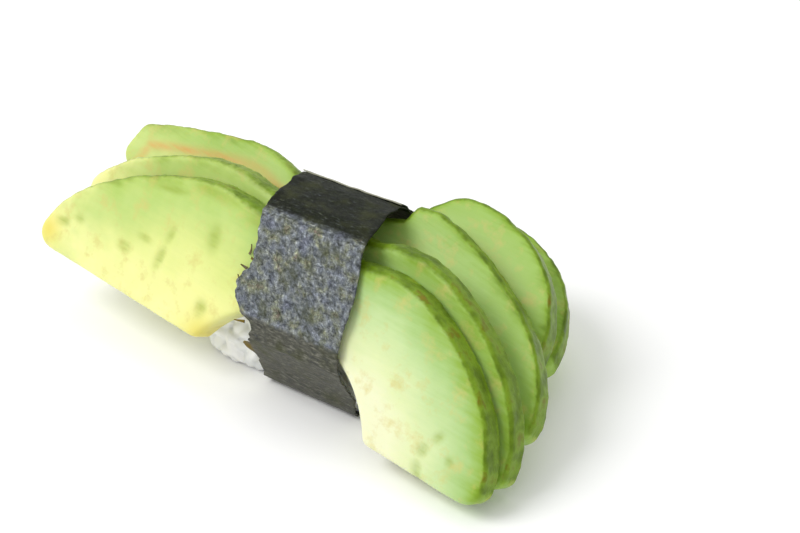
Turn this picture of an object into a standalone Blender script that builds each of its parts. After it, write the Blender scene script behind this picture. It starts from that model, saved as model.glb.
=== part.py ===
# Avocado nigiri: a pressed rice bed, five fanned avocado slices leaning over it
# and one seaweed band round the middle.
# Frame: metres, +Z up. The origin is on the band's flat underside, +X runs along
# the rice bed to the ends of the slices that touch the table, +Y towards the back of the fan.
import bpy
import bmesh
from math import acos, cos, exp, pi, radians, sin, sqrt
from mathutils import Matrix, Vector

mm = 0.001

# ---- driving dimensions ------------------------------------------------------------
clearance = 0.3 * mm          # between two pieces that touch

slice_thickness = 4.4 * mm
slice_edge_radius = 0.8 * mm
slice_corner_radius = 3.2 * mm
stone_radius = 19.0 * mm      # of the round hollow that the stone leaves in the cut side
stone_offset = 8.0 * mm       # its middle from the slice's middle, towards the broad end

# Seat of the front slice: middle of its cut edge, then turn, lean and roll in degrees.
front_seat = (-6.8 * mm, -17.9 * mm, 7.0 * mm)
front_turn = -1.0
front_lean = 63.5
front_roll = -6.3

# Each slice's length and height, how far its broad end is fuller, the trim of its narrow
# end and how deep the stone's hollow goes; how deep the band presses its skin side in and how
# far from the band's middle that fades out; then its step from the slice in front: along, up
# the slope, fan and roll.
slices = (
    dict(length=92.5 * mm, height=26.0 * mm, fullness=0.13, trim=0.0, pit=10.5 * mm,
         pressed=3.4 * mm, fade=14.5 * mm),
    dict(length=91.0 * mm, height=23.8 * mm, fullness=0.18, trim=0.0, pit=10.0 * mm,
         pressed=4.0 * mm, fade=14.5 * mm,
         along=0.8 * mm, up=5.0 * mm, fan=0.0, roll=-4.0),
    dict(length=95.0 * mm, height=19.4 * mm, fullness=0.30, trim=6.5 * mm, pit=8.5 * mm,
         pressed=4.4 * mm, fade=11.5 * mm,
         along=-4.5 * mm, up=7.0 * mm, fan=17.0, roll=-1.0),
    dict(length=68.5 * mm, height=19.5 * mm, fullness=0.44, trim=0.0, pit=3.0 * mm,
         pressed=12.0 * mm, fade=12.0 * mm,
         along=5.9 * mm, up=4.0 * mm, fan=6.0, roll=8.5),
    dict(length=72.0 * mm, height=21.5 * mm, fullness=0.40, trim=0.0, pit=2.0 * mm,
         pressed=12.5 * mm, fade=12.0 * mm,
         along=-2.6 * mm, up=1.0 * mm, fan=17.0, roll=3.0),
)

rice_length = 39.0 * mm
rice_width = 24.0 * mm
rice_height = 16.0 * mm
rice_centre_x = -3.5 * mm
rice_centre_y = 1.6 * mm
rice_corner = 8.0 * mm        # upright corners
rice_round = 3.0 * mm         # top and bottom edges

band_width = 18.5 * mm
band_askew = -0.36            # wound askew: how far it goes along +X for each way along +Y
band_shift = -2.2 * mm        # its middle at the origin's y, along +X
band_thickness = 0.5 * mm
band_stations = 5             # cross-sections along the band
band_sides = 48               # tangent lines round each cross-section

weld = 0.01 * mm              # points nearer than this are one point
skin_steps = 40               # stretches of the skin side's outline
pit_steps = 16                # stretches of the stone hollow's arc
crease = 35.0                 # degrees, edges sharper than this stay sharp


def clear_scene():
    for old in list(bpy.data.objects):
        bpy.data.objects.remove(old, do_unlink=True)


def new_collection(name):
    collection = bpy.data.collections.new(name)
    bpy.context.scene.collection.children.link(collection)
    return collection


def principled(name, colour, roughness, metallic=0.0):
    material = bpy.data.materials.new(name)
    material.use_nodes = True
    shader = material.node_tree.nodes["Principled BSDF"]
    shader.inputs["Base Color"].default_value = (*colour, 1.0)
    shader.inputs["Roughness"].default_value = roughness
    shader.inputs["Metallic"].default_value = metallic
    return material


def add_mesh(name, mesh, collection, material=None):
    obj = bpy.data.objects.new(name, mesh)
    collection.objects.link(obj)
    if material:
        mesh.materials.append(material)
    return obj


def make_cutter(obj):
    obj.hide_render = True
    obj.display_type = "WIRE"
    return obj


def evaluated_copy(obj, matrix):
    """The object's shape with its modifiers, as a new mesh moved by matrix."""
    graph = bpy.context.evaluated_depsgraph_get()
    mesh = bpy.data.meshes.new_from_object(obj.evaluated_get(graph))
    mesh.transform(matrix)
    return mesh


def box(name, low, high, collection, material=None):
    bm = bmesh.new()
    bmesh.ops.create_cube(bm, size=1.0)
    middle = [(a + b) / 2 for a, b in zip(low, high)]
    span = [b - a for a, b in zip(low, high)]
    place = Matrix.Translation(middle) @ Matrix.Diagonal((*span, 1.0))
    bmesh.ops.transform(bm, matrix=place, verts=bm.verts)
    mesh = bpy.data.meshes.new(name)
    bm.to_mesh(mesh)
    bm.free()
    return add_mesh(name, mesh, collection, material)


def bevel(obj, width, segments, angle=crease):
    modifier = obj.modifiers.new("rounding", "BEVEL")
    modifier.width = width
    modifier.segments = segments
    modifier.limit_method = "ANGLE"
    modifier.angle_limit = radians(angle)
    return modifier


def round_upright_edges(obj, radius, segments):
    bm = bmesh.new()
    bm.from_mesh(obj.data)
    upright = [e for e in bm.edges if abs(e.verts[0].co.z - e.verts[1].co.z) > radius]
    bmesh.ops.bevel(bm, geom=upright, offset=radius, segments=segments, profile=0.5, affect="EDGES")
    bm.to_mesh(obj.data)
    bm.free()


# ---- avocado slices ------------------------------------------------------------------

def quarter_round(centre, radius_x, radius_y, start, steps=4):
    """Points of a quarter ellipse, from the angle start and on by 90 degrees, ends left out."""
    points = []
    for i in range(1, steps):
        angle = radians(start + 90.0 * i / steps)
        points.append((centre[0] + radius_x * cos(angle), centre[1] + radius_y * sin(angle)))
    return points


def slice_outline(size, tied_at, grow=0.0):
    """A slice seen from its cut face: the cut edge along x, the skin side a skewed half
    ellipse pressed in where the band ties it, and the stone's hollow an arc into the cut
    edge. grow sets it all outwards."""
    length, height, fullness, trim = (size[key] for key in ("length", "height", "fullness", "trim"))
    half = length / 2 + grow
    rise = height + 2 * grow
    left_end = -half + trim

    def skin(x):
        t = (x + half) / (2 * half)
        free = rise * sqrt(max(0.0, 4 * t * (1 - t))) * (1 + fullness * (2 * t - 1)) - grow
        return free - size["pressed"] * exp(-abs((x - tied_at) / size["fade"]) ** 3)

    corner = slice_corner_radius
    arc = []
    for i in range(1, skin_steps):
        x = -half * cos(pi * i / skin_steps)
        if x > left_end and skin(x) > corner:
            arc.append((x, skin(x)))
    left_x = arc[0][0] if trim == 0.0 else left_end
    right_x = arc[-1][0]

    # hollow: the arc of the stone's circle that reaches this deep past the cut edge
    radius = stone_radius - grow
    depth = size["pit"]
    reach = acos((radius - depth) / radius)
    pit = []
    for i in range(pit_steps + 1):
        angle = reach - 2 * reach * i / pit_steps
        pit.append((stone_offset + radius * sin(angle), radius * (cos(angle) - 1) + depth - grow))

    outline = arc + [(right_x, corner)]
    outline += quarter_round((right_x - corner, corner), corner, -corner - grow, 0.0)
    outline += [(right_x - corner, -grow)] + pit + [(left_x + corner, -grow)]
    outline += quarter_round((left_x + corner, corner), corner, -corner - grow, 90.0)
    outline.append((left_x, corner))
    return outline


def slab(name, outline, front, back, collection, material=None):
    """The outline as a closed slab between the heights front and back."""
    curve = bpy.data.curves.new(name + "_outline", "CURVE")
    curve.dimensions = "2D"
    curve.fill_mode = "BOTH"
    curve.extrude = (front - back) / 2
    spline = curve.splines.new("POLY")
    spline.points.add(len(outline) - 1)
    for point, (x, y) in zip(spline.points, outline):
        point.co = (x, y, 0.0, 1.0)
    spline.use_cyclic_u = True
    guide = bpy.data.objects.new(name + "_outline", curve)
    collection.objects.link(guide)
    bpy.context.view_layer.update()
    mesh = evaluated_copy(guide, Matrix.Translation((0.0, 0.0, (front + back) / 2)))
    bpy.data.objects.remove(guide)
    bm = bmesh.new()
    bm.from_mesh(mesh)
    bmesh.ops.remove_doubles(bm, verts=bm.verts, dist=weld)
    bmesh.ops.recalc_face_normals(bm, faces=bm.faces)
    bm.to_mesh(mesh)
    bm.free()
    mesh.name = name
    return add_mesh(name, mesh, collection, material)


def band_place():
    """From a straight band about the X axis to the band as it is wound, askew."""
    place = Matrix.Translation((band_shift, 0.0, 0.0))
    place[0][1] = band_askew
    return place


def tie_point(seat, height):
    """Where the band's middle meets a slice's skin side, along the slice."""
    in_band = band_place().inverted() @ seat
    return -(in_band[0][3] + height * in_band[0][1]) / in_band[0][0]


def slice_seats():
    """Where each slice stands: each one leans on the slice in front of it."""
    seat = Matrix.Translation(front_seat)
    seat = seat @ Matrix.Rotation(radians(front_turn), 4, "Z")
    seat = seat @ Matrix.Rotation(radians(front_lean), 4, "X")
    seat = seat @ Matrix.Rotation(radians(front_roll), 4, "Z")
    seats = [seat]
    for size in slices[1:]:
        # the fan opens about the lowest corner of the rolled slice, so that none cuts the next
        drop = size["length"] / 2 * sin(radians(abs(size["roll"])))
        hinge = drop * sin(radians(size["fan"]))
        step = Vector((size["along"], size["up"], -slice_thickness - clearance - hinge))
        seat = seat @ Matrix.Translation(step)
        seat = seat @ Matrix.Rotation(radians(-size["fan"]), 4, "X")
        seat = seat @ Matrix.Rotation(radians(size["roll"]), 4, "Z")
        seats.append(seat)
    return seats


def make_slices(parts, cutters):
    flesh = principled("avocado_flesh", (0.55, 0.68, 0.17), 0.42)
    pieces = []
    hollows = []
    for number, (size, seat) in enumerate(zip(slices, slice_seats()), start=1):
        tied_at = tie_point(seat, size["height"])
        piece = slab(f"avocado_slice_{number}", slice_outline(size, tied_at), 0.0, -slice_thickness,
                     parts, flesh)
        piece.matrix_world = seat
        bevel(piece, slice_edge_radius, 2)
        pieces.append(piece)
        # the same slice, larger all round by the clearance, presses its seat into the rice
        hollow = slab(f"slice_seat_{number}", slice_outline(size, tied_at, grow=clearance),
                      clearance, -slice_thickness - clearance, cutters)
        hollow.matrix_world = seat
        hollows.append(make_cutter(hollow))
    return pieces, hollows


# ---- rice bed --------------------------------------------------------------------------

def make_rice(parts, cutters, hollows):
    rice = principled("cooked_rice", (0.86, 0.86, 0.84), 0.35)
    low = (rice_centre_x - rice_length / 2, rice_centre_y - rice_width / 2, 0.0)
    high = (rice_centre_x + rice_length / 2, rice_centre_y + rice_width / 2, rice_height)
    bed = box("rice_bed", low, high, parts, rice)
    round_upright_edges(bed, rice_corner, 5)
    bevel(bed, rice_round, 3, angle=50.0)
    # the band passes under the bed in a shallow step, so both stand on the table
    half = band_width / 2 + clearance
    step = box("band_step", (-half, -rice_length, -rice_height),
               (half, rice_length, band_thickness + clearance), cutters)
    step.data.transform(band_place())
    for cutter in [make_cutter(step)] + hollows:
        cut = bed.modifiers.new("seat", "BOOLEAN")
        cut.operation = "DIFFERENCE"
        cut.solver = "EXACT"
        cut.object = cutter
    return bed


# ---- seaweed band ------------------------------------------------------------------------

def points_between(pieces, low_x, high_x):
    """Every point of the pieces' surfaces from low_x to high_x across the band, as (y, z)
    pairs in the band's own axes."""
    to_band = band_place().inverted()
    graph = bpy.context.evaluated_depsgraph_get()
    found = []
    for piece in pieces:
        bm = bmesh.new()
        bm.from_mesh(piece.evaluated_get(graph).to_mesh())
        bm.transform(to_band @ piece.matrix_world)
        for x, side in ((low_x, -1.0), (high_x, 1.0)):
            everything = bm.verts[:] + bm.edges[:] + bm.faces[:]
            bmesh.ops.bisect_plane(bm, geom=everything, plane_co=(x, 0.0, 0.0),
                                   plane_no=(side, 0.0, 0.0), clear_outer=True)
        found += [(v.co.y, v.co.z) for v in bm.verts]
        bm.free()
    return found


def taut_loop(content, gap, sides):
    """A closed loop drawn taut round the content and gap clear of it, from the corners
    where neighbouring tangent lines cross."""
    turn = 2 * pi / sides
    reach = []
    for i in range(sides):
        across, up = cos(i * turn), sin(i * turn)
        reach.append(max(y * across + z * up for y, z in content) + gap)
    loop = []
    for i in range(sides):
        here, after = i * turn, (i + 1) * turn
        y = (reach[i] * sin(after) - reach[(i + 1) % sides] * sin(here)) / sin(turn)
        z = (reach[(i + 1) % sides] * cos(here) - reach[i] * cos(after)) / sin(turn)
        corner = Vector((y, z))
        if not loop or (corner - loop[-1]).length > gap:
            loop.append(corner)
    if (loop[0] - loop[-1]).length < gap:
        loop.pop()
    return loop


def make_band(parts, content):
    seaweed = principled("roasted_seaweed", (0.02, 0.03, 0.022), 0.38)
    half = band_width / 2
    wrapped = points_between(content, -half, half)
    inner = taut_loop(wrapped, clearance, band_sides)
    bm = bmesh.new()
    rings = []
    for i in range(band_stations):
        x = -half + band_width * i / (band_stations - 1)
        rings.append([bm.verts.new((x, y, z)) for y, z in inner])
    for first, second in zip(rings, rings[1:]):
        for k in range(len(inner)):
            n = (k + 1) % len(inner)
            bm.faces.new((first[k], second[k], second[n], first[n]))
    bmesh.ops.recalc_face_normals(bm, faces=bm.faces)
    mesh = bpy.data.meshes.new("seaweed_band")
    bm.to_mesh(mesh)
    bm.free()
    mesh.transform(band_place())
    band = add_mesh("seaweed_band", mesh, parts, seaweed)
    sheet = band.modifiers.new("sheet", "SOLIDIFY")
    sheet.thickness = band_thickness
    sheet.offset = 1.0
    sheet.use_even_offset = True
    return band


def shade(pieces):
    for piece in pieces:
        piece.data.shade_smooth()
        piece.data.set_sharp_from_angle(angle=radians(crease))


def build():
    clear_scene()
    parts = new_collection("avocado_nigiri")
    cutters = new_collection("cutters")
    pieces, hollows = make_slices(parts, cutters)
    bed = make_rice(parts, cutters, hollows)
    bpy.context.view_layer.update()
    band = make_band(parts, pieces + [bed])
    shade(pieces + [bed, band])


build()
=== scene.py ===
# Looks of an avocado nigiri: five fanned slices of ripe avocado on pressed rice, tied with
# roasted seaweed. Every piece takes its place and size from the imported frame.
import math
import bpy
import bmesh
import numpy as np
from mathutils import Matrix, Vector, kdtree, noise
from mathutils.geometry import convex_hull_2d, delaunay_2d_cdt


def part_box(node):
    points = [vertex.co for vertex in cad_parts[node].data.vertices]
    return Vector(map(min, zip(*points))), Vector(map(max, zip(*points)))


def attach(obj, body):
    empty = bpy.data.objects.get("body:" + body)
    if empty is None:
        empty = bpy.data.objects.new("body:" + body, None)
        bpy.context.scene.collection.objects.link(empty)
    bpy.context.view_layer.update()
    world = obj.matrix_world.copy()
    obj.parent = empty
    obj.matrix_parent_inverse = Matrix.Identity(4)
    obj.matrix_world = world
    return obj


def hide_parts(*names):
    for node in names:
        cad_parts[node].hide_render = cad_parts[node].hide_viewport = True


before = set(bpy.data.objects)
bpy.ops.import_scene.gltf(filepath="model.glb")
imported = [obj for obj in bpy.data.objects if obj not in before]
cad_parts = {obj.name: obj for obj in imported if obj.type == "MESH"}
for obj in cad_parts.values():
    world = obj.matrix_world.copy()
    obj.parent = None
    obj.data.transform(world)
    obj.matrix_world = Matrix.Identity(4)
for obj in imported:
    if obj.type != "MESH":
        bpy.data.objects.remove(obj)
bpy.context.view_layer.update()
mm = 0.001
bodyName = "root"
seed = 11
weld = 0.01 * mm         # corners of a CAD mesh that lie closer than this are one


def hexColour(code):
    channels = [int(code[i:i + 2], 16) / 255 for i in (1, 3, 5)]
    linear = [c / 12.92 if c <= 0.04045 else ((c + 0.055) / 1.055) ** 2.4 for c in channels]
    return (*linear, 1.0)


def addNode(tree, kind, inputs=None, stops=(), **settings):
    made = tree.nodes.new("ShaderNode" + kind)
    for name, value in settings.items():
        setattr(made, name, value)
    for key, value in (inputs or {}).items():
        if isinstance(value, bpy.types.NodeSocket):
            tree.links.new(value, made.inputs[key])
        else:
            made.inputs[key].default_value = value
    # a new ramp has two stops already, which take the first two of the list
    for i, (place, colour) in enumerate(stops):
        stop = made.color_ramp.elements[i] if i < 2 else made.color_ramp.elements.new(place)
        stop.position = place
        stop.color = hexColour(colour)
    return made


def stored(tree, name, output="Fac"):
    return addNode(tree, "Attribute", attribute_name=name).outputs[output]


def noiseNode(tree, place, size, detail, roughness=0.5, distortion=0.0):
    inputs = {"Vector": place, "Scale": 1 / size, "Detail": detail, "Roughness": roughness,
              "Distortion": distortion}
    return addNode(tree, "TexNoise", inputs).outputs["Fac"]


def stretchedAlong(tree, place, share):
    # places for a pattern that is drawn out lengthwise, 1 / share times
    return addNode(tree, "Mapping", {"Vector": place, "Scale": (share, 1.0, 1.0)}).outputs["Vector"]


def calc(tree, operation, *values, clamp=False):
    inputs = dict(enumerate(values))
    return addNode(tree, "Math", inputs, operation=operation, use_clamp=clamp).outputs[0]


def remapped(tree, value, low, high, toLow=0.0, toHigh=1.0, **settings):
    # low to high becomes toLow to toHigh, and stays there beyond
    inputs = {"Value": value, "From Min": low, "From Max": high, "To Min": toLow, "To Max": toHigh}
    return addNode(tree, "MapRange", inputs, **settings).outputs["Result"]


def ramp(tree, value, stops):
    return addNode(tree, "ValToRGB", {"Fac": value}, stops).outputs["Color"]


def mixed(tree, share, below, above, blend="MIX"):
    # above is a colour code or another node's colour
    above = hexColour(above) if isinstance(above, str) else above
    inputs = {0: share, 6: below, 7: above}
    return addNode(tree, "Mix", inputs, data_type="RGBA", blend_type=blend).outputs[2]


def bumped(tree, height, strength, distance, under=None):
    inputs = {"Height": height, "Strength": strength, "Distance": distance}
    if under:
        inputs["Normal"] = under
    return addNode(tree, "Bump", inputs).outputs["Normal"]


def newMaterial(name):
    material = bpy.data.materials.new(name)
    material.use_nodes = True
    return material, material.node_tree, material.node_tree.nodes["Principled BSDF"]


def noiseAt(points, size, shift=0.0):
    # smooth noise from -1 to 1 at points in metres, with bumps about size across
    offset = Vector((shift * 7.31, shift * 3.77, shift * 5.13))
    return np.array([noise.noise(Vector(p) / size + offset) for p in points])


def smoothStep(low, high, value):
    t = np.clip((value - low) / (high - low), 0.0, 1.0)
    return t * t * (3 - 2 * t)


def storeValues(mesh, name, values):
    layer = mesh.attributes.new(name, "FLOAT", "POINT")
    layer.data.foreach_set("value", np.asarray(values, np.float32))


def storeVectors(mesh, name, values):
    layer = mesh.attributes.new(name, "FLOAT_VECTOR", "POINT")
    layer.data.foreach_set("vector", np.asarray(values, np.float32).ravel())


def addObject(name, mesh, material, nodeNames):
    obj = bpy.data.objects.new(name, mesh)
    bpy.context.scene.collection.objects.link(obj)
    mesh.materials.clear()
    mesh.materials.append(material)
    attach(obj, bodyName)
    if nodeNames:
        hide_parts(*nodeNames)
    return obj


def addThickness(obj, thickness):
    solid = obj.modifiers.new("sheet", "SOLIDIFY")
    solid.thickness = thickness
    solid.offset = 0.0


def resampled(loop, spacing):
    # points evenly spaced round a closed loop
    closed = np.vstack([loop, loop[:1]])
    run = np.concatenate([[0.0], np.cumsum(np.linalg.norm(np.diff(closed, axis=0), axis=1))])
    count = max(8, int(round(run[-1] / spacing)))
    at = np.linspace(0.0, run[-1], count, endpoint=False)
    return np.stack([np.interp(at, run, closed[:, i]) for i in range(closed.shape[1])], axis=1)


def softened(loop, rounds):
    for _ in range(rounds):
        loop = 0.5 * loop + 0.25 * (np.roll(loop, 1, axis=0) + np.roll(loop, -1, axis=0))
    return loop


def outwardNormals(loop):
    # for a loop that runs anticlockwise
    along = np.roll(loop, -1, axis=0) - np.roll(loop, 1, axis=0)
    along /= np.linalg.norm(along, axis=1, keepdims=True)
    return np.stack([along[:, 1], -along[:, 0]], axis=1)


def bandPlane():
    # the seaweed is wound askew: its middle lies at x = middle + slant * y, half wide each way
    points = np.array([v.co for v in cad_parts["seaweed_band"].data.vertices])
    terms = np.column_stack([np.ones(len(points)), points[:, 1]])
    fit = np.linalg.lstsq(terms, points[:, 0], rcond=None)[0]
    return fit[0], fit[1], np.abs(points[:, 0] - terms @ fit).max()


bandMiddle, bandSlant, bandHalf = bandPlane()


def pastBand(point):
    # how far along +X a point lies from the middle of the seaweed
    return point[0] - bandMiddle - bandSlant * point[1]


# Avocado slices -- each follows its CAD slab: same outline, thickness and place.
sliceLook = dict(
    grid=0.55 * mm,          # spacing of the points over the cut faces
    rim=0.5 * mm,            # spacing along the edge
    rimArc=5,                # steps round each edge
    rimSide=5,               # steps across the thickness
    edgeRadius=1.0 * mm,     # knife-cut edges, a little rounded by handling
    pinchRadius=2.4 * mm,    # the same where the seaweed squeezes them
    pinchReach=15.0 * mm,
    radiusWave=5.0 * mm,     # the rounding varies over about this length
    backRadius=0.8 * mm,
    wave=0.30 * mm,          # slow waves of the cut faces
    waveSize=14.0 * mm,
    ripple=0.05 * mm,        # fine ripple that the knife leaves
    rippleSize=2.2 * mm,
    shoulderRise=0.8 * mm,   # how soon the flesh swells again past the seaweed's edge
    shoulderReach=16.0 * mm,
    ragged=0.35 * mm,        # skin edge, torn where the peel came off
    raggedSize=3.0 * mm,
    raggedFine=0.9 * mm,
    bump=0.16 * mm,          # bumps that the peel left on the skin side
    bumpSize=2.6 * mm,
    bumpFine=1.0 * mm,
    yellowHeight=12.0 * mm,  # the yellow fades out this far up from the cut edge
    pinkDepth=4.2,           # the pink line lies so many millimetres under the skin
    pinkWidth=0.8,
)

# Dents and bruises of the front slice: along and up from the middle of its cut edge, size
# along and across, turn in degrees, depth. Millimetres.
frontMarks = [
    (-41.1, 5.2, 1.6, 0.9, 10, 0.25),
    (-38.1, 7.0, 1.2, 0.8, 0, 0.15),
    (-27.7, 6.9, 1.6, 1.0, 0, 0.10),
    (-24.3, 9.7, 1.6, 0.7, 0, 0.12),
    (-19.7, 12.2, 0.8, 1.6, -12, 0.22),
    (-20.3, 8.2, 0.9, 2.2, -10, 0.32),
    (-11.7, 15.2, 1.3, 2.4, 10, 0.20),
    (-9.7, 4.8, 1.3, 1.6, 0, 0.25),
    (-13.5, 21.2, 5.5, 1.2, 4, 0.35),
    (-4.5, 21.5, 4.5, 2.6, -8, 0.40),
    (-22.5, 18.6, 4.0, 0.8, 12, 0.30),
    (36.3, 6.8, 0.8, 1.2, -35, 0.20),
    (34.7, 4.1, 1.0, 1.2, -25, 0.30),
    (35.0, 1.0, 0.9, 1.6, 25, 0.40),
    (39.2, 4.6, 0.8, 0.8, 40, 0.15),
]

# Deeper yellow where the flesh was ripest: along, up and radius in millimetres.
goldSpots = [(-43.5, 2.8, 2.6), (-8.0, 0.5, 3.4)]

# How far each slice goes yellow, creamy or pink, how high its flesh swells beside the
# seaweed, and its marks.
sliceNotes = {
    "avocado_slice_1": dict(yellow=0.85, cream=1.0, pinkLine=0.0, shoulder=0.3 * mm,
                            marks=frontMarks, gold=goldSpots),
    "avocado_slice_2": dict(yellow=1.0, cream=0.4, pinkLine=0.2, shoulder=0.6 * mm, marks=[], gold=[]),
    "avocado_slice_3": dict(yellow=0.35, cream=0.2, pinkLine=1.0, shoulder=2.4 * mm, marks=[], gold=[]),
    "avocado_slice_4": dict(yellow=0.55, cream=0.0, pinkLine=0.0, shoulder=1.2 * mm, marks=[], gold=[]),
    "avocado_slice_5": dict(yellow=0.1, cream=0.0, pinkLine=0.0, shoulder=0.5 * mm, marks=[], gold=[]),
}


def slabAxes(nodeName):
    # the slab's own axes, from the areas of its flat sides: up out of the front face, and
    # across from the cut edge to the skin
    areas = {}
    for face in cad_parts[nodeName].data.polygons:
        key = tuple(round(c, 2) + 0.0 for c in face.normal)
        total, normal = areas.get(key, (0.0, face.normal.copy()))
        areas[key] = (total + face.area, normal)
    ranked = sorted(areas.values(), key=lambda entry: -entry[0])
    outOfFace = ranked[0][1]
    if outOfFace.z < 0:
        outOfFace = -outOfFace
    cutSide = next(normal for _, normal in ranked if abs(normal.dot(outOfFace)) < 0.1)
    toSkin = -cutSide
    along = toSkin.cross(outOfFace)
    return Matrix((along, toSkin, outOfFace)).transposed()


def slabOutline(nodeName, axes):
    # the section half way through the slab, anticlockwise in its own plane, with the
    # matrix from that plane to the frame
    bm = bmesh.new()
    bm.from_mesh(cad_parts[nodeName].data)
    bmesh.ops.remove_doubles(bm, verts=bm.verts, dist=weld)
    local = np.array([axes.transposed() @ v.co for v in bm.verts])
    low, high = local.min(axis=0), local.max(axis=0)
    middle = axes @ Vector((0.0, 0.0, (low[2] + high[2]) / 2))
    cut = bmesh.ops.bisect_plane(bm, geom=bm.verts[:] + bm.edges[:] + bm.faces[:],
                                 plane_co=middle, plane_no=axes.col[2])
    beside = {}
    for edge in cut["geom_cut"]:
        if isinstance(edge, bmesh.types.BMEdge):
            a, b = edge.verts
            beside.setdefault(a, []).append(b)
            beside.setdefault(b, []).append(a)
    start = next(iter(beside))
    walk, before, here = [start], None, start
    while True:
        after = next(v for v in beside[here] if v is not before)
        if after is start:
            break
        walk.append(after)
        before, here = here, after
    flat = np.array([(axes.transposed() @ v.co)[:2] for v in walk])
    bm.free()
    origin = np.array([(flat[:, 0].min() + flat[:, 0].max()) / 2, low[1]])
    flat = flat - origin
    area = np.sum(flat[:, 0] * np.roll(flat[:, 1], -1) - np.roll(flat[:, 0], -1) * flat[:, 1])
    if area < 0:
        flat = flat[::-1]
    place = axes.to_4x4()
    place.translation = axes @ Vector((origin[0], origin[1], high[2]))
    return flat, high[2] - low[2], place


def insideLoop(points, loop):
    # a point is inside when a line from it towards +X crosses the loop an odd number of times
    a, b = loop, np.roll(loop, -1, axis=0)
    x, y = points[:, 0:1], points[:, 1:2]
    crosses = (a[:, 1] > y) != (b[:, 1] > y)
    span = b[:, 1] - a[:, 1]
    span = np.where(np.abs(span) < 1e-12, 1e-12, span)
    at = a[:, 0] + (y - a[:, 1]) * (b[:, 0] - a[:, 0]) / span
    return np.sum(crosses & (x < at), axis=1) % 2 == 1


def distanceTo(points, loop):
    best = np.full(len(points), 1.0)
    for p, q in zip(loop, np.roll(loop, -1, axis=0)):
        d = q - p
        t = np.clip(((points - p) @ d) / max(d @ d, 1e-18), 0.0, 1.0)
        best = np.minimum(best, np.linalg.norm(points - (p + t[:, None] * d), axis=1))
    return best


def sliceEdge(flat, place, notes, shift):
    # the slab's outline, swollen beside the seaweed, and torn where the peel came off; with
    # it the untorn line, the share of skin and the front edge's radius at each point
    look = sliceLook
    loop = softened(resampled(flat, look["rim"]), 3)
    out = outwardNormals(loop)
    skinShare = smoothStep(-0.45, 0.1, out[:, 1]) * smoothStep(1.0 * mm, 3.5 * mm, loop[:, 1])
    spots = np.column_stack([loop, np.zeros(len(loop))])
    tear = noiseAt(spots, look["raggedSize"], shift) + 0.6 * noiseAt(spots, look["raggedFine"], shift + 1)
    tear = look["ragged"] * np.clip(0.5 + 0.5 * tear, 0.0, 1.5)
    fromBand = np.array([pastBand(place @ Vector((x, y, 0.0))) for x, y in loop])
    beyond = fromBand - bandHalf
    fade = np.exp(-(np.maximum(beyond, 0.0) / look["shoulderReach"]) ** 2)
    swell = smoothStep(0.3, 3.0, beyond / look["shoulderRise"]) * fade
    loop = loop + out * (notes["shoulder"] * swell * smoothStep(0.2, 0.7, out[:, 1]))[:, None]
    skinLine = loop.copy()
    loop = loop - out * (tear * (0.25 + 0.75 * skinShare))[:, None]
    pinch = np.exp(-(fromBand / look["pinchReach"]) ** 2) * skinShare
    radius = look["edgeRadius"] + (look["pinchRadius"] - look["edgeRadius"]) * pinch
    radius = radius * (1.0 + 0.25 * noiseAt(spots, look["radiusWave"], shift + 2))
    return loop, skinLine, skinShare, radius


def edgeRings(loop, out, thickness, frontRadius):
    # rings from the front face over the edge to the back face
    look = sliceLook
    backRadius = np.full(len(loop), look["backRadius"])
    rings = []
    for i in range(look["rimArc"] + 1):
        a = math.pi / 2 * i / look["rimArc"]
        inset = frontRadius * (1 - math.sin(a))
        rings.append(np.column_stack([loop - out * inset[:, None], -frontRadius * (1 - math.cos(a))]))
    for i in range(1, look["rimSide"]):
        share = i / look["rimSide"]
        height = -(frontRadius + (thickness - frontRadius - backRadius) * share)
        rings.append(np.column_stack([loop, height]))
    for i in range(look["rimArc"], -1, -1):
        a = math.pi / 2 * i / look["rimArc"]
        inset = backRadius * (1 - math.sin(a))
        rings.append(np.column_stack([loop - out * inset[:, None],
                                      -thickness + backRadius * (1 - math.cos(a))]))
    return rings


def filledFace(border, rng):
    # points over a flat face, as on a net of even triangles but a little shaken, and the
    # triangles between them and the border
    step = sliceLook["grid"]
    xs = np.arange(border[:, 0].min(), border[:, 0].max(), step)
    ys = np.arange(border[:, 1].min(), border[:, 1].max(), step * 0.87)
    rows = np.array([(x + (0.5 * step if j % 2 else 0.0), y) for j, y in enumerate(ys) for x in xs])
    rows += rng.uniform(-0.12, 0.12, rows.shape) * step
    rows = rows[insideLoop(rows, border)]
    rows = rows[distanceTo(rows, border) > 0.45 * step]
    corners = [Vector(p) for p in np.vstack([border, rows])]
    edges = [(i, (i + 1) % len(border)) for i in range(len(border))]
    solved = delaunay_2d_cdt(corners, edges, [], 1, 1e-9)
    order = [ids[0] for ids in solved[3]]
    return rows, [[order[i] for i in face] for face in solved[2]]


def markShares(points, marks):
    # how much of a mark shows at each point, and how deep its dent is
    shown = np.zeros(len(points))
    dents = np.zeros(len(points))
    for x, y, wide, tall, turn, depth in marks:
        c, s = math.cos(math.radians(turn)), math.sin(math.radians(turn))
        dx, dy = points[:, 0] - x * mm, points[:, 1] - y * mm
        u, v = (c * dx + s * dy) / (wide * mm), (c * dy - s * dx) / (tall * mm)
        spot = np.exp(-1.4 * (u * u + v * v) ** 1.4)
        shown = np.maximum(shown, spot)
        dents = np.maximum(dents, depth * mm * spot)
    return shown, dents


def goldShare(points, spots):
    gold = np.zeros(len(points))
    for x, y, radius in spots:
        spread = np.hypot(points[:, 0] - x * mm, points[:, 1] - y * mm) / (radius * mm)
        gold = np.maximum(gold, np.exp(-spread ** 2))
    return gold


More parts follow.
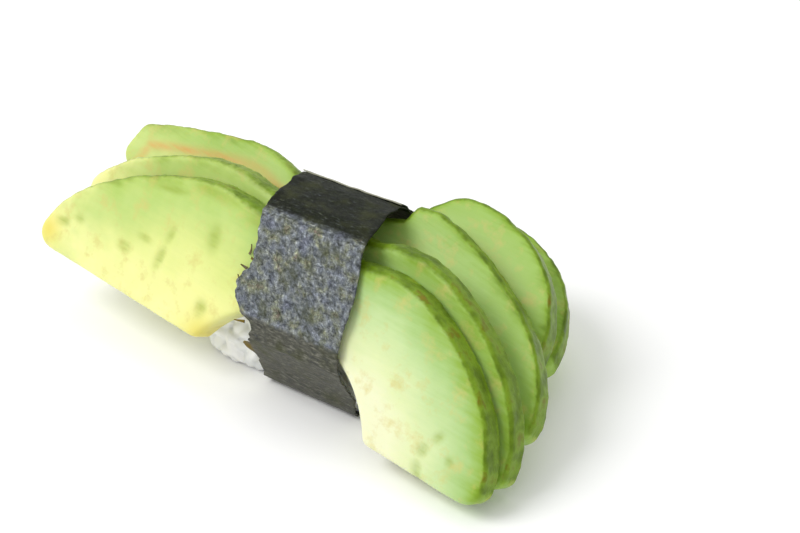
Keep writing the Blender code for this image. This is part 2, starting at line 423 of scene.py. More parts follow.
def storeTones(mesh, points, skinPart, skinLine, notes):
    # depth under the skin in millimetres, and how far the flesh goes yellow, creamy or pink
    look = sliceLook
    tree = kdtree.KDTree(len(skinPart))
    for i, p in enumerate(skinPart):
        tree.insert((p[0], p[1], 0.0), i)
    tree.balance()
    depth = np.array([tree.find((p[0], p[1], 0.0))[2] for p in points]) / mm
    storeValues(mesh, "skinDepth", depth)
    halfLength = (skinLine[:, 0].max() - skinLine[:, 0].min()) / 2
    lengthwise = points[:, 0] / halfLength
    left = smoothStep(0.15, -0.35, lengthwise)
    lowEdge = smoothStep(look["yellowHeight"], 0.0, points[:, 1])
    tip = smoothStep(-0.72, -1.0, lengthwise)
    yellow = np.clip(left * (0.25 + 0.75 * lowEdge) + tip, 0.0, 1.0)
    storeValues(mesh, "yellow", notes["yellow"] * yellow)
    storeValues(mesh, "cream", notes["cream"] * smoothStep(-0.1, 0.35, lengthwise))
    line = np.exp(-((depth - look["pinkDepth"]) / look["pinkWidth"]) ** 2)
    storeValues(mesh, "pinkLine", notes["pinkLine"] * line * smoothStep(0.0, -0.4, lengthwise))


def makeSlice(nodeName, number, material):
    look, notes = sliceLook, sliceNotes[nodeName]
    flat, thickness, place = slabOutline(nodeName, slabAxes(nodeName))
    shift = 10.0 * number    # so that each slice has noise of its own
    loop, skinLine, skinShare, frontRadius = sliceEdge(flat, place, notes, shift)
    out = outwardNormals(softened(loop, 2))
    rings = edgeRings(loop, out, thickness, frontRadius)
    rows, triangles = filledFace(rings[0][:, :2], np.random.default_rng(seed + number))

    # the front face's points, the rings round the edge, then the back face's points
    count = len(loop)
    inner = len(rows)
    ringStart = [0] + [count + inner + (k - 1) * count for k in range(1, len(rings))]
    points = np.vstack([rings[0], np.column_stack([rows, np.zeros(inner)])] + rings[1:]
                       + [np.column_stack([rows, np.full(inner, -thickness)])])
    backStart = ringStart[-1] + count
    faces = []
    for tri in triangles:
        faces.append(tri)
        faces.append([ringStart[-1] + i if i < count else backStart + i - count for i in reversed(tri)])
    for k in range(len(rings) - 1):
        a, b = ringStart[k], ringStart[k + 1]
        for i in range(count):
            n = (i + 1) % count
            faces.append((a + n, a + i, b + i, b + n))

    # waves, ripple and dents, always into the slice, so that neighbours never meet
    plane = np.column_stack([points[:, :2], np.zeros(len(points))])
    frontShare = np.clip(1 + points[:, 2] / (thickness / 2), 0.0, 1.0)
    backShare = np.clip(-1 - points[:, 2] / (thickness / 2), 0.0, 1.0)
    waveFront = 0.5 + 0.5 * noiseAt(plane, look["waveSize"], shift + 3)
    waveBack = 0.5 + 0.5 * noiseAt(plane, look["waveSize"], shift + 4)
    streaks = plane * np.array([0.35, 1.0, 1.0])
    ripple = 0.5 + 0.5 * noiseAt(streaks, look["rippleSize"], shift + 5)
    bruises, dents = markShares(points, notes["marks"])
    moved = points.copy()
    moved[:, 2] -= frontShare * (look["wave"] * waveFront + look["ripple"] * ripple + dents)
    moved[:, 2] += backShare * (look["wave"] * waveBack + look["ripple"] * ripple)

    # bumps on the skin side, strongest half way across the thickness
    bumpShare = np.zeros(len(points))
    onSkin = np.zeros(len(points))
    outAll = np.zeros((len(points), 2))
    last = len(rings) - 1
    # the narrow ends kept less of the dark green next to the peel
    darkening = 0.45 + 0.55 * smoothStep(-0.55, 0.2, loop[:, 0] / np.abs(loop[:, 0]).max())
    for k, start in enumerate(ringStart):
        bumpShare[start:start + count] = skinShare * math.sin(math.pi * k / last) ** 0.7
        onSkin[start:start + count] = skinShare * smoothStep(0.0, 3.5, min(k, last - k)) * darkening
        outAll[start:start + count] = out
    bumps = noiseAt(moved, look["bumpSize"], shift + 6) + 0.5 * noiseAt(moved, look["bumpFine"], shift + 7)
    moved[:, :2] -= outAll * (bumpShare * look["bump"] * (1 + bumps))[:, None]

    mesh = bpy.data.meshes.new(nodeName + "_flesh")
    world = [tuple(place @ Vector(p)) for p in moved]
    mesh.from_pydata(world, [], faces)
    mesh.validate()
    storeTones(mesh, points, skinLine[skinShare > 0.5], skinLine, notes)
    storeValues(mesh, "onSkin", onSkin)
    storeValues(mesh, "bruise", bruises)
    storeValues(mesh, "gold", goldShare(points, notes["gold"]))
    storeVectors(mesh, "along", points / mm)
    mesh.shade_smooth()
    addObject(nodeName + "_flesh", mesh, material, [nodeName])
    return place


# Ripe avocado, cut with a knife: pale butter colour by the stone, greener towards the
# skin, satin with a little moisture and light that goes a millimetre or two in.
def cutAvocado():
    material, tree, shader = newMaterial("cutAvocado")
    along = stored(tree, "along", "Vector")
    # clouds about 7 mm and grain about 0.8 mm across; the attribute is in millimetres
    clouds = noiseNode(tree, along, 7, 3.0)
    grain = noiseNode(tree, along, 0.8, 2.0)
    # fibres run along the slice, 8 times longer than wide
    fibres = noiseNode(tree, stretchedAlong(tree, along, 0.12), 0.9, 2.5)

    # clouds and fibres shift the layers of colour that follow the skin
    cloudShift = calc(tree, "MULTIPLY_ADD", clouds, 5.0, -2.5)
    fibreShift = calc(tree, "MULTIPLY_ADD", fibres, 2.6, cloudShift)
    shifted = calc(tree, "ADD", stored(tree, "skinDepth"), fibreShift)
    share = remapped(tree, shifted, 1.3, 17.3)
    flesh = ramp(tree, share, [
        (0.0, "#74951C"), (1.0, "#E2E692"), (0.05, "#8DB03C"), (0.12, "#9EC058"),
        (0.28, "#A8C76A"), (0.48, "#BCD076"), (0.70, "#D0DC82")])
    creamDeep = ramp(tree, share, [
        (0.0, "#7E9F24"), (1.0, "#E9EBC4"), (0.07, "#8FB044"), (0.22, "#A8C77C"),
        (0.46, "#C3D99C"), (0.75, "#DCE6B0")])
    colour = mixed(tree, stored(tree, "cream"), flesh, creamDeep)
    yellow = calc(tree, "MULTIPLY", stored(tree, "yellow"), clouds)
    colour = mixed(tree, calc(tree, "MULTIPLY", yellow, 1.7, clamp=True), colour, "#EFEEA4")
    colour = mixed(tree, calc(tree, "MULTIPLY", stored(tree, "gold"), 0.7), colour, "#DECB48")
    colour = mixed(tree, calc(tree, "MULTIPLY", stored(tree, "pinkLine"), fibres), colour, "#DB9248")
    # faint browning, the first to show on cut avocado, in specks about 3 mm across
    specks = noiseNode(tree, along, 3.2, 4.0, 0.65)
    colour = mixed(tree, remapped(tree, specks, 0.53, 0.70, toHigh=0.5), colour, "#CFC070")
    bruise = calc(tree, "MULTIPLY", stored(tree, "bruise"), fibres)
    colour = mixed(tree, calc(tree, "MULTIPLY", bruise, 0.95), colour, "#8FA42E")

    # the skin side: olive to grass green with ochre stains about 3.5 mm across
    skinNoise = noiseNode(tree, along, 3.5, 5.0, 0.6)
    skin = ramp(tree, skinNoise, [
        (0.30, "#4A6203"), (0.78, "#8A640E"), (0.45, "#627F0A"), (0.58, "#789820"),
        (0.68, "#707808")])
    edge = calc(tree, "MULTIPLY_ADD", grain, 0.5, -0.25)
    skinShare = calc(tree, "ADD", stored(tree, "onSkin"), edge)
    skinMask = remapped(tree, skinShare, 0.15, 0.75, interpolation_type="SMOOTHSTEP")
    colour = mixed(tree, skinMask, colour, skin)
    tree.links.new(colour, shader.inputs["Base Color"])

    tree.links.new(remapped(tree, grain, 0.0, 1.0, 0.34, 0.52), shader.inputs["Roughness"])
    shader.inputs["IOR"].default_value = 1.42
    shader.inputs["Specular IOR Level"].default_value = 0.3
    shader.inputs["Subsurface Weight"].default_value = 0.22
    shader.inputs["Subsurface Radius"].default_value = (1.0, 0.8, 0.25)
    shader.inputs["Subsurface Scale"].default_value = 1.4 * mm
    normal = bumped(tree, fibres, 0.35, 0.12 * mm)
    normal = bumped(tree, grain, 0.4, 0.08 * mm, normal)
    skinHeight = calc(tree, "MULTIPLY", skinNoise, skinMask)
    normal = bumped(tree, skinHeight, 0.6, 0.35 * mm, normal)
    tree.links.new(normal, shader.inputs["Normal"])
    return material


# Pressed rice -- short cooked grains over a core, joined into one body as they stick.
riceLook = dict(
    grainLength=5.4 * mm,
    grainWidth=2.5 * mm,
    grainDepth=2.1 * mm,
    grainBend=0.25 * mm,     # a grain's middle stands out to one side by this
    spread=1.9 * mm,         # least distance between grain middles
    sunk=0.75 * mm,          # how far the middles lie under the bed's surface
    sunkUnderBand=1.25 * mm,
    bandMargin=1.0 * mm,     # grains this far past the seaweed's edges are sunk as deep
    coreInset=0.7 * mm,
    coreVoxel=0.6 * mm,
    voxel=0.29 * mm,
    tries=9000,
    lowest=0.15 * mm,        # grains are pressed flat this far over the table
    squeezedHeights=(5.4 * mm, 7.4 * mm, 9.4 * mm),
    squeezedPast=(-3.0 * mm, -0.2 * mm),  # past the seaweed's right edge
    squeezedOut=0.8 * mm,    # in front of the bed
)


def grainShape():
    bm = bmesh.new()
    bmesh.ops.create_uvsphere(bm, u_segments=12, v_segments=10, radius=1.0)
    for v in bm.verts:
        x, y, z = v.co.z, v.co.x, v.co.y
        taper = 1.0 - 0.12 * x * x
        v.co = Vector((x * riceLook["grainLength"] / 2,
                       y * riceLook["grainWidth"] / 2 * taper + riceLook["grainBend"] * (1 - x * x),
                       z * riceLook["grainDepth"] / 2 * taper))
    mesh = bpy.data.meshes.new("grain")
    bm.to_mesh(mesh)
    bm.free()
    return mesh


def finished(obj, *modifiers):
    # the object's mesh after its modifiers, each given as a kind and its settings
    for kind, settings in modifiers:
        modifier = obj.modifiers.new(kind.lower(), kind)
        for name, value in settings.items():
            setattr(modifier, name, value)
    bpy.context.view_layer.update()
    mesh = bpy.data.meshes.new_from_object(obj.evaluated_get(bpy.context.evaluated_depsgraph_get()))
    bpy.data.objects.remove(obj)
    return mesh


def tempObject(mesh):
    obj = bpy.data.objects.new("temp", mesh)
    bpy.context.scene.collection.objects.link(obj)
    return obj


def riceCore(source):
    # the bed's own shape, softened and drawn in, so that nothing shows between the grains
    return finished(tempObject(source.copy()),
                    ("REMESH", dict(mode="VOXEL", voxel_size=riceLook["coreVoxel"])),
                    ("SMOOTH", dict(factor=0.5, iterations=6)),
                    ("DISPLACE", dict(mid_level=0.0, strength=-riceLook["coreInset"])))


def scatteredGrains(source, rng):
    # grains lying on the bed's surface at random, none too close to another
    look = riceLook
    bm = bmesh.new()
    bm.from_mesh(source)
    bmesh.ops.remove_doubles(bm, verts=bm.verts, dist=weld)
    bmesh.ops.triangulate(bm, faces=bm.faces)
    areas = np.array([f.calc_area() for f in bm.faces])
    corners = np.array([[v.co for v in f.verts] for f in bm.faces])
    normals = np.array([f.normal for f in bm.faces])
    bm.free()

    middles, turns = [], []
    for pick in rng.choice(len(areas), look["tries"], p=areas / areas.sum()):
        u, v = rng.random(2)
        if u + v > 1:
            u, v = 1 - u, 1 - v
        a, b, c = corners[pick]
        normal = Vector(normals[pick])
        point = Vector(a + u * (b - a) + v * (c - a))
        underBand = abs(pastBand(point)) < bandHalf + look["bandMargin"]
        sunk = look["sunkUnderBand"] if underBand else look["sunk"]
        point = point - normal * (sunk + rng.uniform(-0.2, 0.25) * mm)
        if any((point - other).length < look["spread"] for other in middles):
            continue
        side = normal.orthogonal().normalized()
        side.rotate(Matrix.Rotation(rng.uniform(0, 2 * math.pi), 3, normal))
        tilt = Matrix.Rotation(rng.normal(0, 0.28), 3, normal.cross(side))
        axis = tilt @ side
        across = normal.cross(axis).normalized()
        turn = Matrix((axis, across, axis.cross(across))).transposed().to_4x4()
        turn.translation = point
        size = rng.uniform(0.86, 1.12)
        turns.append(turn @ Matrix.Diagonal((size, rng.uniform(0.9, 1.08), rng.uniform(0.9, 1.08), 1)))
        middles.append(point)
    return middles, turns


def squeezedGrains(rng):
    # a few grains that the seaweed squeezed out of the bed's front, at its right edge
    look = riceLook
    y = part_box("rice_bed")[0].y - look["squeezedOut"]
    middles, turns = [], []
    for height in look["squeezedHeights"]:
        for past in look["squeezedPast"]:
            x = bandMiddle + bandSlant * y + bandHalf + past + rng.uniform(-0.5, 0.5) * mm
            turn = Matrix.Rotation(rng.uniform(-0.6, 0.6), 4, "Y")
            turn.translation = (x, y, height)
            turns.append(turn)
            middles.append(Vector((x, y, height)))
    return middles, turns


def joinedRice(source, turns):
    look = riceLook
    bm = bmesh.new()
    bm.from_mesh(riceCore(source))
    grain = grainShape()
    for turn in turns:
        before = len(bm.verts)
        bm.from_mesh(grain)
        bm.verts.ensure_lookup_table()
        bmesh.ops.transform(bm, matrix=turn, verts=bm.verts[before:])
    for v in bm.verts:
        if v.co.z < look["lowest"]:
            v.co.z = look["lowest"] + 0.02 * v.co.z
    mesh = bpy.data.meshes.new("grains")
    bm.to_mesh(mesh)
    bm.free()
    return finished(tempObject(mesh),
                    ("REMESH", dict(mode="VOXEL", voxel_size=look["voxel"])),
                    ("SMOOTH", dict(factor=0.5, iterations=2)))


def storeGrainTones(mesh, middles, turns, rng):
    # each grain's own tone, and how deep a point lies between the grains, for the painted shade there
    look = riceLook
    tree = kdtree.KDTree(len(middles))
    for i, p in enumerate(middles):
        tree.insert(p, i)
    tree.balance()
    tones = rng.random(len(middles))
    inverse = [turn.inverted() for turn in turns]
    tone, creviceShade = [], []
    for v in mesh.vertices:
        nearest, chosen = math.inf, 0
        for _, i, _ in tree.find_n(v.co, 4):
            q = inverse[i] @ v.co
            q = Vector((q.x / look["grainLength"], q.y / look["grainWidth"], q.z / look["grainDepth"]))
            if 2 * q.length < nearest:
                nearest, chosen = 2 * q.length, i
        tone.append(tones[chosen])
        creviceShade.append(min(1.0, max(0.0, (nearest - 1.0) * 2.5)))
    storeValues(mesh, "tone", tone)
    storeValues(mesh, "creviceShade", creviceShade)


def makeRice(material):
    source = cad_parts["rice_bed"].data
    rng = np.random.default_rng(seed)
    middles, turns = scatteredGrains(source, rng)
    moreMiddles, moreTurns = squeezedGrains(rng)
    middles += moreMiddles
    turns += moreTurns
    mesh = joinedRice(source, turns)
    mesh.name = "pressedRice"
    storeGrainTones(mesh, middles, turns, rng)
    mesh.shade_smooth()
    addObject("pressedRice", mesh, material, ["rice_bed"])


# Steamed short-grain rice, hand-pressed: milky and wet, so light goes well into the grains
# and each one has a soft highlight.
def steamedRice():
    material, tree, shader = newMaterial("steamedRice")
    place = addNode(tree, "TexCoord").outputs["Object"]
    # chalky clouds inside a grain, about 1.5 mm across
    clouds = noiseNode(tree, place, 1.5 * mm, 2.0)
    tones = calc(tree, "MULTIPLY", calc(tree, "ADD", stored(tree, "tone"), clouds), 0.5)
    white = ramp(tree, tones, [(0.2, "#E4E6E4"), (0.8, "#FBFBF7"), (0.5, "#F3F4F1")])
    # painted shade: the deeper a point lies between the grains, the darker grey it is painted
    shade = calc(tree, "MULTIPLY", stored(tree, "creviceShade"), 0.55)
    tree.links.new(mixed(tree, shade, white, "#B9BDBE"), shader.inputs["Base Color"])
    shader.inputs["Roughness"].default_value = 0.28
    shader.inputs["IOR"].default_value = 1.4
    shader.inputs["Subsurface Weight"].default_value = 0.35
    shader.inputs["Subsurface Radius"].default_value = (1.0, 0.95, 0.85)
    shader.inputs["Subsurface Scale"].default_value = 1.6 * mm
    fine = noiseNode(tree, place, 0.5 * mm, 2.0)
    tree.links.new(bumped(tree, fine, 0.25, 0.08 * mm), shader.inputs["Normal"])
    return material


# Seaweed band -- one sheet wound round, its end lapped over its start on top.
bandLook = dict(
    sheet=0.20 * mm,
    cell=0.30 * mm,
    overlap=7.0 * mm,
    innerDepth=0.42 * mm,    # start of the sheet, under the CAD band's outer face
    outerDepth=0.12 * mm,    # end of the sheet
    clearance=0.11 * mm,     # the sheet's middle stays this far over the table
    pressedFlat=1.2 * mm,    # below this height it hardly crumples
    crumple=0.078 * mm,
    crumpleSize=2.4 * mm,
    crumpleFine=0.9 * mm,
    crumpleWide=7.0 * mm,
    curl=0.60 * mm,          # the edges lift from the flesh by up to this
    curlSize=5.0 * mm,
    curlReach=1.6 * mm,
    leftTorn=0.9 * mm,
    rightTorn=0.15 * mm,
    tearSize=3.0 * mm,
    rightTearSize=2.4 * mm,
    tearFine=0.8 * mm,
    ridgeTilt=24.0,          # degrees back from upright: the fold over the back slices
    foldForward=7.0 * mm,    # the sheet turns from the top to the front here
    creaseHeight=15.0 * mm,  # the sheet turns under here
    creaseOut=0.45 * mm,
    creaseWidth=1.2 * mm,
    underIn=0.60 * mm,       # and is drawn in below it
    bulge=3.2 * mm,          # the left edge reaches out above the crease
    bulgeAbove=3.0 * mm,
    bulgeReach=3.4 * mm,
    leftIn=0.5 * mm,         # the left edge is drawn in below the crease
    waist=1.6 * mm,          # the right edge is drawn in at the crease
    waistReach=5.0 * mm,
    flap=1.8 * mm,           # a thin torn flap at the left edge, under the crease
    flapBelow=7.5 * mm,
    flapReach=1.4 * mm,
)


def bandLoop():
    # the sheet's path in y and z, anticlockwise from the ridge on top, down the front
    look = bandLook
    flat = np.array([(v.co.y, v.co.z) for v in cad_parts["seaweed_band"].data.vertices])
    hull = flat[convex_hull_2d([Vector(p) for p in flat])]
    area = np.sum(hull[:, 0] * np.roll(hull[:, 1], -1) - np.roll(hull[:, 0], -1) * hull[:, 1])
    if area < 0:
        hull = hull[::-1]
    loop = resampled(hull, look["cell"])
    height = loop[:, 1] - look["creaseHeight"]
    isFront = loop[:, 0] < 0
    fold = look["creaseOut"] * np.exp(-(height / look["creaseWidth"]) ** 2)
    drawn = look["underIn"] * smoothStep(0.5 * mm, 3.0 * mm, -height)
    drawn = drawn * smoothStep(1.0 * mm, 5.0 * mm, loop[:, 1])
    loop = loop + outwardNormals(softened(loop, 3)) * ((fold - drawn) * isFront)[:, None]
    loop = softened(loop, 2)
    tilt = math.radians(look["ridgeTilt"])
    ridge = int(np.argmax(loop[:, 0] * math.sin(tilt) + loop[:, 1] * math.cos(tilt)))
    return np.roll(loop, -ridge, axis=0)


def bandEdges(along, fromCrease):
    # how far across the sheet its left and right edges lie in each row, and the flap's share
    look = bandLook
    spots = np.column_stack([np.zeros(len(along)), along, np.zeros(len(along))])
    torn = 0.7 * noiseAt(spots, look["tearSize"], 1) + 0.6 * noiseAt(spots, look["tearFine"], 2)
    torn = look["leftTorn"] * np.clip(0.5 + torn, 0, 2)
    tornRight = noiseAt(spots, look["rightTearSize"], 3) + 0.6 * noiseAt(spots, look["tearFine"], 4)
    tornRight = look["rightTorn"] * np.clip(0.5 + tornRight, 0, 2)
    below = smoothStep(0.0, 1.0 * mm, fromCrease)
    onTop = smoothStep(-9.0 * mm, -13.0 * mm, fromCrease)
    bulge = np.exp(-((fromCrease + look["bulgeAbove"]) / look["bulgeReach"]) ** 2) * (1 - below)
    flap = np.exp(-((fromCrease - look["flapBelow"]) / look["flapReach"]) ** 4)
    left = (-bandHalf + torn * (1 - 0.6 * onTop) - look["bulge"] * bulge
            + look["leftIn"] * below - look["flap"] * flap)
    waist = look["waist"] * np.exp(-(fromCrease / look["waistReach"]) ** 2)
    return left, bandHalf - tornRight * (1 + 4.0 * below) - waist, flap


def sheetPush(spot, edge):
    # how far the crumples and the curl of the edges push the sheet out
    look = bandLook
    crumple = (noise.noise(spot / look["crumpleSize"]) + 0.5 * noise.noise(spot / look["crumpleFine"])
               + 0.8 * noise.noise(spot / look["crumpleWide"]))
    lift = max(0.0, noise.noise(spot / look["curlSize"] + Vector((9, 0, 0))))
    return look["crumple"] * crumple + look["curl"] * lift * math.exp(-edge / look["curlReach"])


def makeBand(material):
    look = bandLook
    loop = bandLoop()
    count = len(loop)
    extra = int(look["overlap"] / look["cell"])
    loop = np.roll(loop, extra, axis=0)
    out = outwardNormals(loop)
    rows = count + extra
    columns = int(2 * bandHalf / look["cell"])
    # the rows at which the sheet turns under and at which it turns from the top to the front
    frontHeight = np.where(loop[:, 0] < 0, loop[:, 1], 1.0)
    crease = int(np.argmin(np.abs(frontHeight - look["creaseHeight"])))
    isLow = np.where(loop[:, 1] < look["creaseHeight"], 1.0, 0.0)
    fold = int(np.argmin(np.abs(loop[:, 0] + look["foldForward"]) + isLow))
    turned = np.arange(rows) % count
    along = np.arange(rows) * look["cell"]
    left, right, flap = bandEdges(along, (turned - crease) * look["cell"])

    points, sheetPlace, thin = [], [], []
    for j in range(rows):
        depth = look["innerDepth"] + (look["outerDepth"] - look["innerDepth"]) * j / (rows - 1)
        outY, outZ = out[turned[j]]
        y, z = loop[turned[j]] - out[turned[j]] * depth
        for i in range(columns + 1):
            share = i / columns
            across = left[j] + (right[j] - left[j]) * share
            push = sheetPush(Vector((across, along[j], 0.0)), min(share, 1 - share) * 2 * bandHalf)
            if z < look["pressedFlat"]:
                push = min(push, 0.0) * 0.3
            x = bandMiddle + bandSlant * y + across
            points.append((x, y + outY * push, max(z + outZ * push, look["clearance"])))
            sheetPlace.append((across / mm, along[j] / mm, 0.0))
            thin.append(flap[j] * smoothStep(-bandHalf + 0.9 * mm, -bandHalf, across))
    width = columns + 1
    faces = []
    for j in range(rows - 1):
        for i in range(columns):
            a = j * width + i
            faces.append((a, a + width, a + width + 1, a + 1))
    mesh = bpy.data.meshes.new("seaweed")
    mesh.from_pydata(points, [], faces)
    # 0 on top, 1 in front and 2 below, with each fold softened over a few rows; the material paints each
    # facet as its own lit or shaded copy
    facet = smoothStep(fold - 4, fold + 4, turned) + smoothStep(crease - 2, crease + 2, turned)
    storeValues(mesh, "facet", np.repeat(facet, width))
    storeValues(mesh, "thin", thin)
    # where the painted highlight along the sheet's cut end lies
    storeValues(mesh, "cutEndHighlight", np.repeat(smoothStep(rows - 4, rows - 1, np.arange(rows)), width))
    storeVectors(mesh, "sheetPlace", sheetPlace)
    obj = addObject("seaweedSheet", mesh, material, ["seaweed_band"])
    addThickness(obj, look["sheet"])
    mesh.shade_smooth()


# Threads and crumbs that came off the seaweed's torn edge, on the front slice beside it.
threadLook = dict(
    count=8,
    seedShift=40,
    width=0.34 * mm,
    thickness=0.14 * mm,
    shortest=0.7 * mm,
    longest=2.2 * mm,
    bend=0.25,               # radians that a thread turns at each step, at most
    lift=0.5 * mm,           # the free end stands up by this, at most
    clearance=0.12 * mm,     # between the thread's middle and the flesh
    lowest=6.5 * mm,         # up the slice from its cut edge
    highest=16.5 * mm,
    reach=1.6 * mm,          # how far past the torn edge they start
    steps=7,
)


def makeThreads(place, material):
    look = threadLook
    rng = np.random.default_rng(seed + look["seedShift"])
    points, faces, where = [], [], []
    for _ in range(look["count"]):
        up = rng.uniform(look["lowest"], look["highest"])
        # the spot on the slice's face that lies beside the seaweed at this height, found in
        # a few steps because the seaweed runs askew
        here = Vector((0.0, up, 0.0))
        for _ in range(4):
            here.x -= pastBand(place @ here) + bandHalf + rng.uniform(0.2, 1.0) * look["reach"]
        heading = rng.uniform(0, 2 * math.pi)
        length = rng.uniform(look["shortest"], look["longest"])
        bend = rng.uniform(-look["bend"], look["bend"])
        lift = rng.uniform(0.0, look["lift"])
        wide = look["width"] * rng.uniform(0.6, 1.5)
        first = len(points)
        for i in range(look["steps"]):
            share = i / (look["steps"] - 1)
            side = Vector((-math.sin(heading), math.cos(heading), 0.0)) * wide * (1 - 0.7 * share) / 2
            here.z = look["clearance"] + lift * share * share
            for corner in (here - side, here + side):
                points.append(place @ corner)
                where.append((corner.x / mm, corner.y / mm, 0.0))
            here = here + Vector((math.cos(heading), math.sin(heading), 0.0)) * length / look["steps"]
            heading += bend
        for i in range(look["steps"] - 1):
            a = first + 2 * i
            faces.append((a, a + 2, a + 3, a + 1))
    mesh = bpy.data.meshes.new("seaweedThreads")
    mesh.from_pydata([tuple(p) for p in points], [], faces)
    # the threads take the lit front copy of the sheet's painted light and shade
    storeValues(mesh, "facet", np.ones(len(points)))
    storeValues(mesh, "thin", rng.uniform(0.5, 1.0, look["count"]).repeat(2 * look["steps"]))
    storeVectors(mesh, "sheetPlace", where)
    obj = addObject("seaweedThreads", mesh, material, [])
    addThickness(obj, look["thickness"])


# Roasted seaweed sheet: pressed fibres, black-green where it is thick and olive where it is
# thin, with a dull oily shine whose blue and violet are painted into the front's colour as painted sheen.
def roastedSeaweed():
    material, tree, shader = newMaterial("roastedSeaweed")
    place = stored(tree, "sheetPlace", "Vector")
    # flakes about 0.9 mm, fibres about 0.45 mm wide drawn a little coarse so that they show
    flakes = noiseNode(tree, place, 0.9, 6.0, 0.78, 0.35)
    fibres = noiseNode(tree, stretchedAlong(tree, place, 0.35), 0.45, 4.0, 0.65)
    # the three facets of the fold are painted as lit and shaded copies of one sheet: the front
    # catches the light in painted sheen, the top and what lies under the fold are painted darker
    front = ramp(tree, flakes, [
        (0.30, "#1E2223"), (0.74, "#DCDFE4"), (0.42, "#474D52"), (0.50, "#646B71"),
        (0.58, "#82878E")])
    top = ramp(tree, flakes, [
        (0.30, "#060900"), (0.78, "#343C14"), (0.50, "#0E1402"), (0.64, "#1A2206")])
    under = ramp(tree, fibres, [
        (0.28, "#24251E"), (0.75, "#8A8A7C"), (0.45, "#45453D"), (0.58, "#63635A")])
    # painted sheen on the front: violet, grey, olive and brown patches about 3 mm across
    sheenTint = ramp(tree, noiseNode(tree, place, 3.0, 4.0, 0.6), [
        (0.34, "#666A78"), (0.70, "#6E5E50"), (0.44, "#6C7278"), (0.52, "#707470"),
        (0.60, "#686C54")])
    front = mixed(tree, 0.8, front, sheenTint, "COLOR")
    # painted glints: pale silvery streaks along the sheet's fibres
    front = mixed(tree, remapped(tree, fibres, 0.58, 0.72, toHigh=0.35), front, "#C9CCD6")
    # the painted shine breaks up in streaks at each fold
    streaky = calc(tree, "MULTIPLY_ADD", fibres, 1.3, -0.65)
    facet = calc(tree, "ADD", stored(tree, "facet"), streaky)
    colour = mixed(tree, calc(tree, "MINIMUM", facet, 1.0, clamp=True), top, front)
    colour = mixed(tree, calc(tree, "SUBTRACT", facet, 1.0, clamp=True), colour, under)
    patches = noiseNode(tree, place, 4.5, 2.0)
    colour = mixed(tree, remapped(tree, patches, 0.5, 0.68, toHigh=0.5), colour, "#3E421E")
    # one layer without its neighbour is olive brown where light comes through
    colour = mixed(tree, stored(tree, "thin"), colour, "#6E5C1C")
    # painted highlight: the sheet's cut end on top is pale grey where light catches its edge
    colour = mixed(tree, stored(tree, "cutEndHighlight"), colour, "#A5A592")
    tree.links.new(colour, shader.inputs["Base Color"])
    tree.links.new(remapped(tree, fibres, 0.3, 0.7, 0.36, 0.68), shader.inputs["Roughness"])
    shader.inputs["IOR"].default_value = 1.45
    shader.inputs["Specular IOR Level"].default_value = 0.12
    normal = bumped(tree, flakes, 0.6, 0.18 * mm)
    normal = bumped(tree, fibres, 0.6, 0.12 * mm, normal)
    tree.links.new(normal, shader.inputs["Normal"])
    return material


stageLook = dict(
    azimuth=37.5,            # degrees, from straight ahead towards the right
    elevation=30.0,
    lens=85.0,
    distance=290.0 * mm,
    aside=8.14 * mm,         # the camera's slide right and up across its view
    above=15.58 * mm,
    nearest=0.01,            # the camera sees from here on
    floorSize=4.0,
    floorColour="#FFFFFF",
    skyColour="#FFFFFF",
    skyStrength=0.68,
)

# Soft round lights: name, place, the spot they face, width in metres, power in watts.
softboxes = [
    ("softboxFront", (-0.30, -0.40, 0.60), (0.0, 0.0, 0.0), 0.45, 3.2),
    ("softboxTop", (-0.15, 0.30, 0.70), (0.0, 0.0, 0.01), 0.6, 0.7),
]


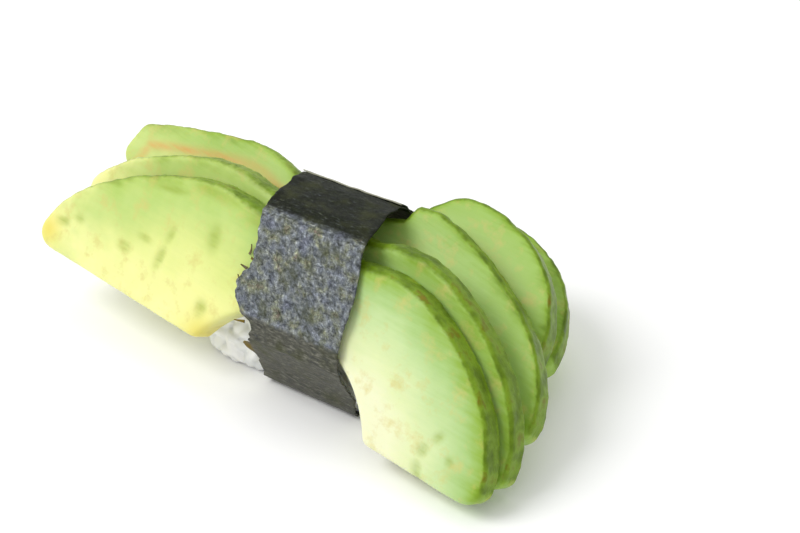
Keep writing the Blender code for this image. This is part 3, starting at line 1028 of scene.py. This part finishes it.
def makeCamera():
    look = stageLook
    a, e = math.radians(look["azimuth"]), math.radians(look["elevation"])
    back = Vector((math.sin(a) * math.cos(e), -math.cos(a) * math.cos(e), math.sin(e)))
    right = Vector((math.cos(a), math.sin(a), 0.0))
    up = back.cross(right)
    data = bpy.data.cameras.new("camera")
    data.lens = look["lens"]
    data.clip_start = look["nearest"]
    camera = bpy.data.objects.new("camera", data)
    place = Matrix((right, up, back)).transposed().to_4x4()
    place.translation = back * look["distance"] + right * look["aside"] + up * look["above"]
    camera.matrix_world = place
    bpy.context.scene.collection.objects.link(camera)
    bpy.context.scene.camera = camera


def addLight(name, place, aim, size, power):
    data = bpy.data.lights.new(name, "AREA")
    data.shape = "DISK"
    data.size = size
    data.energy = power
    lamp = bpy.data.objects.new(name, data)
    lamp.location = place
    lamp.rotation_euler = (Vector(aim) - Vector(place)).to_track_quat("-Z", "Y").to_euler()
    bpy.context.scene.collection.objects.link(lamp)


# Pale painted board: rolled matte paint with no grain to be seen, so only soft shadows show.
def paleTable():
    material, _, shader = newMaterial("paleTable")
    shader.inputs["Base Color"].default_value = hexColour(stageLook["floorColour"])
    shader.inputs["Roughness"].default_value = 0.9
    shader.inputs["Specular IOR Level"].default_value = 0.2
    return material


def makeStage():
    mesh = bpy.data.meshes.new("table")
    half = stageLook["floorSize"] / 2
    corners = [(-half, -half, 0), (half, -half, 0), (half, half, 0), (-half, half, 0)]
    mesh.from_pydata(corners, [], [(0, 1, 2, 3)])
    table = bpy.data.objects.new("table", mesh)
    bpy.context.scene.collection.objects.link(table)
    mesh.materials.append(paleTable())
    world = bpy.data.worlds.new("studio")
    world.use_nodes = True
    sky = world.node_tree.nodes["Background"].inputs
    sky["Color"].default_value = hexColour(stageLook["skyColour"])
    sky["Strength"].default_value = stageLook["skyStrength"]
    bpy.context.scene.world = world
    for softbox in softboxes:
        addLight(*softbox)
    bpy.context.scene.view_settings.view_transform = "Standard"


makeCamera()
makeStage()
print("camera, table and light are in place")
flesh = cutAvocado()
places = [makeSlice(nodeName, number, flesh) for number, nodeName in enumerate(sliceNotes, start=1)]
print("avocado slices are cut")
makeRice(steamedRice())
print("rice is pressed")
seaweed = roastedSeaweed()
makeBand(seaweed)
makeThreads(places[0], seaweed)
print("seaweed is wound round")
